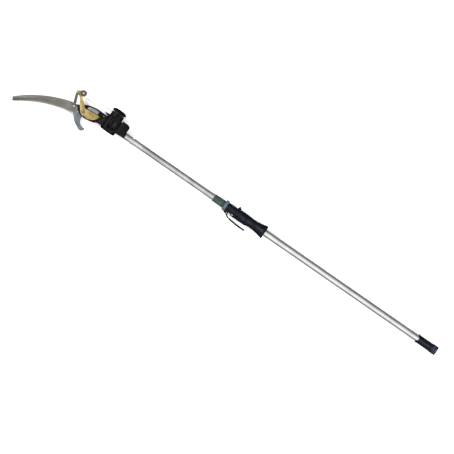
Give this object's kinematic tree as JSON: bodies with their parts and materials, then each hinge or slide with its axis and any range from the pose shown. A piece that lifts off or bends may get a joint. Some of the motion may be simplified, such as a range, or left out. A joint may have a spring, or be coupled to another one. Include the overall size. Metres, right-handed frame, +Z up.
{
  "type": "telescoping pole saw",
  "caption": "Telescoping pole saw: curved saw blade, hook and rope-driven cutter on a tilting head, two-stage pole with a squeeze lock, and a pull handle at its end.",
  "frame": {"origin": "bottom centre of the bounding box, on the surface that the saw lies on", "axes": "+X along the pole from the saw blade to the end handle, +Y in the plane of the blades towards the tilt knob, +Z up from the surface, square to the blades"},
  "size_m": [2.216, 0.241, 0.064],
  "materials": {
    "saw_steel": "brushed along the blade",
    "hook_steel": "satin blue-grey",
    "zinc_steel": "zinc plated",
    "gold_coated_steel": "satin gold-coloured coating",
    "black_nylon": "fine moulded grain",
    "grip_rubber": "ribbed",
    "label_grey": "satin, blank",
    "spring_steel": "drawn wire",
    "rope_white": "braided",
    "sheave_nylon": "turned",
    "tube_aluminium": "satin anodised",
    "collar_teal": "moulded",
    "flange_slate": "moulded",
    "lever_enamel": "black enamel",
    "vinyl_dip": "dipped, glossy",
    "brake_pad": "moulded",
    "brass_insert": "machined"
  },
  "bodies": {
    "pole": {"outer_tube": "tube_aluminium", "collar": "collar_teal", "flange_ring": "flange_slate", "lock_body": "black_nylon", "grip_sleeve": "grip_rubber", "lever_pin": "zinc_steel", "tube_end_bush": "sheave_nylon", "lever_spring": "spring_steel"},
    "lock_lever": {"lock_lever": "lever_enamel", "lever_sleeve": "vinyl_dip"},
    "brake": {"brake_shoe": "brake_pad"},
    "inner_pole": {"inner_tube": "tube_aluminium", "inner_bush": "sheave_nylon", "cross_bolt": "zinc_steel", "cross_nut": "zinc_steel", "socket": "black_nylon", "pivot_plug": "sheave_nylon", "lower_pivot": "zinc_steel", "socket_pin": "zinc_steel", "rope_lower_bend": "rope_white"},
    "socket_roller": {"socket_roller": "sheave_nylon"},
    "head": {"head_shell_front": "black_nylon", "head_shell_back": "black_nylon", "shell_screws": "zinc_steel", "label_plate": "label_grey", "hook_jaw": "hook_steel", "saw_blade": "saw_steel", "saw_bolts": "zinc_steel", "pivot_bolt": "zinc_steel", "pivot_nut": "zinc_steel", "spring_post": "zinc_steel", "return_spring": "spring_steel", "rope_live": "rope_white", "rope_dead": "rope_white", "rope_ferrule": "zinc_steel", "rope_upper_bend": "rope_white", "turret_pin": "zinc_steel", "clamp_tube": "zinc_steel", "clamp_washer": "zinc_steel"},
    "turret_roller": {"turret_roller": "sheave_nylon"},
    "knob": {"tilt_knob": "black_nylon", "knob_insert": "brass_insert"},
    "cutter": {"cutter_lever": "gold_coated_steel", "sheave_axle": "zinc_steel", "spring_pin": "zinc_steel", "rope_wrap": "rope_white"},
    "lever_sheave": {"lever_sheave": "sheave_nylon"},
    "pull_handle": {"pull_handle": "black_nylon", "end_cap": "flange_slate", "cap_screws": "zinc_steel", "rope_knot": "rope_white", "rope_in_tubes": "rope_white"}
  },
  "joints": [
    {"name": "telescope", "type": "slide", "parent": "pole", "child": "inner_pole", "axis": [-1, 0, 0], "range_m": [-0.435, 0.48], "deforming": ["rope_in_tubes"]},
    {"name": "head_tilt", "type": "hinge", "parent": "inner_pole", "child": "head", "pos_m": [-0.67, 0.0375, 0.032], "axis": [0, 1, 0], "range_deg": [-60, 60]},
    {"name": "knob_turn", "type": "hinge", "parent": "head", "child": "knob", "pos_m": [-0.67, 0.1115, 0.032], "axis": [0, 1, 0], "range_deg": [0, 360]},
    {"name": "turret_roller_spin", "type": "hinge", "parent": "head", "child": "turret_roller", "pos_m": [-0.678, 0.0845, 0.032], "axis": [0, 0, -1], "range_deg": [0, 1060.5]},
    {"name": "socket_roller_spin", "type": "hinge", "parent": "inner_pole", "child": "socket_roller", "pos_m": [-0.662, 0.0455, 0.032], "axis": [0, 0, 1], "range_deg": [0, 1060.5]},
    {"name": "cutter_swing", "type": "hinge", "parent": "head", "child": "cutter", "pos_m": [-0.8065, 0.021, 0.0335], "axis": [0, 0, -1], "range_deg": [0, 55.1], "stiffness_Nm_per_rad": 0.6, "springref_deg": -17.19, "deforming": ["return_spring", "rope_live", "rope_dead"]},
    {"name": "sheave_spin", "type": "hinge", "parent": "cutter", "child": "lever_sheave", "pos_m": [-0.851, 0.0892, 0.0384], "axis": [0, 0, -1], "range_deg": [0, 291.9]},
    {"name": "pull", "type": "slide", "parent": "pole", "child": "pull_handle", "axis": [1, 0, 0], "range_m": [0, 0.1478], "deforming": ["rope_in_tubes"]},
    {"name": "lock_squeeze", "type": "hinge", "parent": "pole", "child": "lock_lever", "pos_m": [-0.02, 0.013, 0.032], "axis": [0, 0, 1], "range_deg": [0, 6.5], "stiffness_Nm_per_rad": 0.5, "springref_deg": -11.46},
    {"name": "brake_release", "type": "slide", "parent": "pole", "child": "brake", "axis": [0, -1, 0], "range_m": [0, 0.00055]}
  ],
  "couplings": [
    {"joint": "cutter_swing", "follows": "pull", "rad_per_m": 6.4948},
    {"joint": "sheave_spin", "follows": "pull", "rad_per_m": 34.238},
    {"joint": "turret_roller_spin", "follows": "pull", "rad_per_m": 125},
    {"joint": "socket_roller_spin", "follows": "pull", "rad_per_m": 125},
    {"joint": "brake_release", "follows": "lock_squeeze", "m_per_rad": 0.004407}
  ]
}
